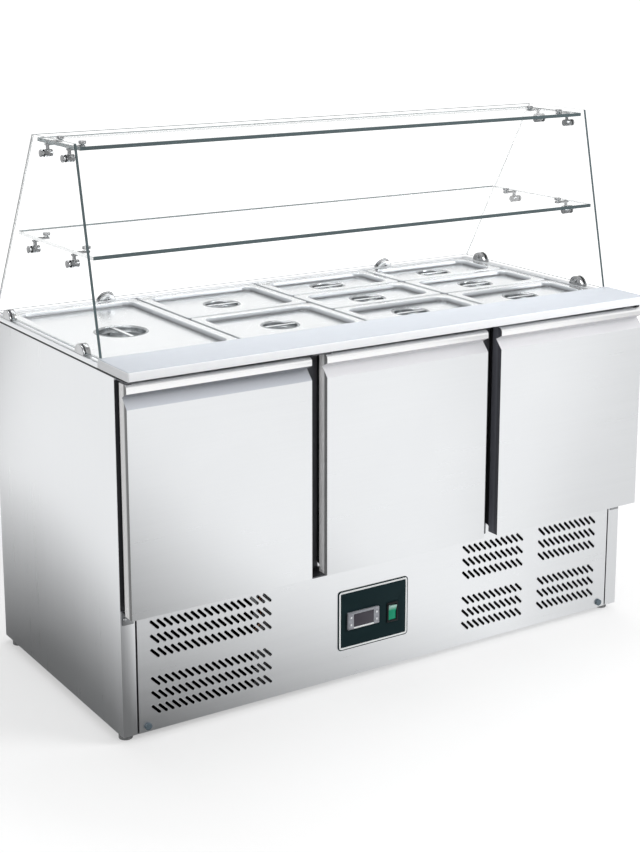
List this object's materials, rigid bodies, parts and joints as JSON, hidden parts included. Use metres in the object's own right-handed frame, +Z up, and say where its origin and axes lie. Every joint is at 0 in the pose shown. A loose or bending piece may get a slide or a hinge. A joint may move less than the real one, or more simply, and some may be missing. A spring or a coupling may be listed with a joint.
{
  "type": "saladette",
  "caption": "Refrigerated prep counter with hinged doors, lidded gastronorm pans, a cutting board along the front and a sloping glass display top with shelves.",
  "frame": {"origin": "on the floor under the middle of the whole box", "axes": "+X to the right end seen by the worker at the doors, -Y towards the worker, +Z up"},
  "size_m": [1.365, 0.7, 1.237],
  "materials": {
    "stainless": "fine brushed",
    "galvanised": "dull zinc",
    "pressed_steel": "bright pressed",
    "foam": "closed-cell foam",
    "dark_profile": "satin",
    "gasket": "matt",
    "board": "satin",
    "clear_glass": "clear toughened",
    "bright_metal": "polished",
    "screw_caps": "satin",
    "plate_black": "satin",
    "case_grey": "satin",
    "display": "tinted, glossy",
    "key_grey": "satin",
    "rocker_green": "translucent, glossy",
    "foot_black": "matt",
    "coated_wire": "coated",
    "coil_fins": "mill",
    "shell_black": "enamel",
    "copper": "drawn"
  },
  "bodies": {
    "cabinet": {"left_side_panel": "stainless", "right_side_panel": "stainless", "kick_panel": "stainless", "worktop_frame": "stainless", "hinge_brackets": "stainless", "rack_runners": "stainless", "pan_support_bars": "stainless", "inner_liner": "stainless", "back_panel": "galvanised", "base_pan": "galvanised", "fan_frame": "galvanised", "gn_pans": "pressed_steel", "insulation": "foam", "front_rail": "dark_profile", "door_mullions": "dark_profile", "cord_grommet": "gasket", "side_panes": "clear_glass", "rear_pane": "clear_glass", "glass_shelves": "clear_glass", "glass_clamps": "bright_metal", "shelf_holders": "bright_metal", "glass_fixings": "bright_metal", "panel_screws": "screw_caps", "control_plate": "plate_black", "switch_frame": "plate_black", "controller_case": "case_grey", "controller_lens": "display", "feet": "foot_black", "wire_racks": "coated_wire", "condenser_coil": "coil_fins", "evaporator_coil": "coil_fins", "compressor": "shell_black", "refrigerant_pipes": "copper"},
    "door_left": {"door_left_skin": "stainless", "door_left_core": "foam", "door_left_gasket": "gasket"},
    "door_centre": {"door_centre_skin": "stainless", "door_centre_core": "foam", "door_centre_gasket": "gasket"},
    "door_right": {"door_right_skin": "stainless", "door_right_core": "foam", "door_right_gasket": "gasket"},
    "lid_1_full": {"lid_1_full": "pressed_steel"},
    "lid_2_front": {"lid_2_front": "pressed_steel"},
    "lid_2_rear": {"lid_2_rear": "pressed_steel"},
    "lid_3_front": {"lid_3_front": "pressed_steel"},
    "lid_3_middle": {"lid_3_middle": "pressed_steel"},
    "lid_3_rear": {"lid_3_rear": "pressed_steel"},
    "lid_4_front": {"lid_4_front": "pressed_steel"},
    "lid_4_middle": {"lid_4_middle": "pressed_steel"},
    "lid_4_rear": {"lid_4_rear": "pressed_steel"},
    "board": {"cutting_board": "board"},
    "key_left_upper": {"key_left_upper": "key_grey"},
    "key_left_lower": {"key_left_lower": "key_grey"},
    "key_right_upper": {"key_right_upper": "key_grey"},
    "key_right_lower": {"key_right_lower": "key_grey"},
    "rocker": {"switch_rocker": "rocker_green"},
    "fan": {"fan_blade": "coil_fins"}
  },
  "joints": [
    {"name": "door_left_hinge", "type": "hinge", "parent": "cabinet", "child": "door_left", "pos_m": [-0.6745, -0.326, 0.535], "axis": [0, 0, -1], "range_deg": [0, 100]},
    {"name": "door_centre_hinge", "type": "hinge", "parent": "cabinet", "child": "door_centre", "pos_m": [-0.20683, -0.326, 0.535], "axis": [0, 0, -1], "range_deg": [0, 100]},
    {"name": "door_right_hinge", "type": "hinge", "parent": "cabinet", "child": "door_right", "pos_m": [0.6745, -0.326, 0.535], "axis": [0, 0, 1], "range_deg": [0, 100]},
    {"name": "lid_1_full_lift", "type": "slide", "parent": "cabinet", "child": "lid_1_full", "axis": [0, -0.5007, 0.8656], "range_m": [0, 0.13]},
    {"name": "lid_2_front_lift", "type": "slide", "parent": "cabinet", "child": "lid_2_front", "axis": [0, -0.5007, 0.8656], "range_m": [0, 0.13]},
    {"name": "lid_2_rear_lift", "type": "slide", "parent": "cabinet", "child": "lid_2_rear", "axis": [0, -0.5007, 0.8656], "range_m": [0, 0.13]},
    {"name": "lid_3_front_lift", "type": "slide", "parent": "cabinet", "child": "lid_3_front", "axis": [0, -0.5007, 0.8656], "range_m": [0, 0.13]},
    {"name": "lid_3_middle_lift", "type": "slide", "parent": "cabinet", "child": "lid_3_middle", "axis": [0, -0.5007, 0.8656], "range_m": [0, 0.13]},
    {"name": "lid_3_rear_lift", "type": "slide", "parent": "cabinet", "child": "lid_3_rear", "axis": [0, -0.5007, 0.8656], "range_m": [0, 0.13]},
    {"name": "lid_4_front_lift", "type": "slide", "parent": "cabinet", "child": "lid_4_front", "axis": [0, -0.5007, 0.8656], "range_m": [0, 0.13]},
    {"name": "lid_4_middle_lift", "type": "slide", "parent": "cabinet", "child": "lid_4_middle", "axis": [0, -0.5007, 0.8656], "range_m": [0, 0.13]},
    {"name": "lid_4_rear_lift", "type": "slide", "parent": "cabinet", "child": "lid_4_rear", "axis": [0, -0.5007, 0.8656], "range_m": [0, 0.13]},
    {"name": "board_lift", "type": "slide", "parent": "cabinet", "child": "board", "axis": [0, 0, 1], "range_m": [0, 0.15]},
    {"name": "key_left_upper_press", "type": "slide", "parent": "cabinet", "child": "key_left_upper", "axis": [0, 1, 0], "range_m": [0, 0.0008], "stiffness_N_per_m": 800},
    {"name": "key_left_lower_press", "type": "slide", "parent": "cabinet", "child": "key_left_lower", "axis": [0, 1, 0], "range_m": [0, 0.0008], "stiffness_N_per_m": 800},
    {"name": "key_right_upper_press", "type": "slide", "parent": "cabinet", "child": "key_right_upper", "axis": [0, 1, 0], "range_m": [0, 0.0008], "stiffness_N_per_m": 800},
    {"name": "key_right_lower_press", "type": "slide", "parent": "cabinet", "child": "key_right_lower", "axis": [0, 1, 0], "range_m": [0, 0.0008], "stiffness_N_per_m": 800},
    {"name": "rocker_tilt", "type": "hinge", "parent": "cabinet", "child": "rocker", "pos_m": [-0.004, -0.282, 0.146], "axis": [-1, 0, 0], "range_deg": [0, 14]},
    {"name": "fan_spin", "type": "hinge", "parent": "cabinet", "child": "fan", "pos_m": [-0.474, -0.1585, 0.123], "axis": [0, 1, 0], "continuous": true}
  ]
}
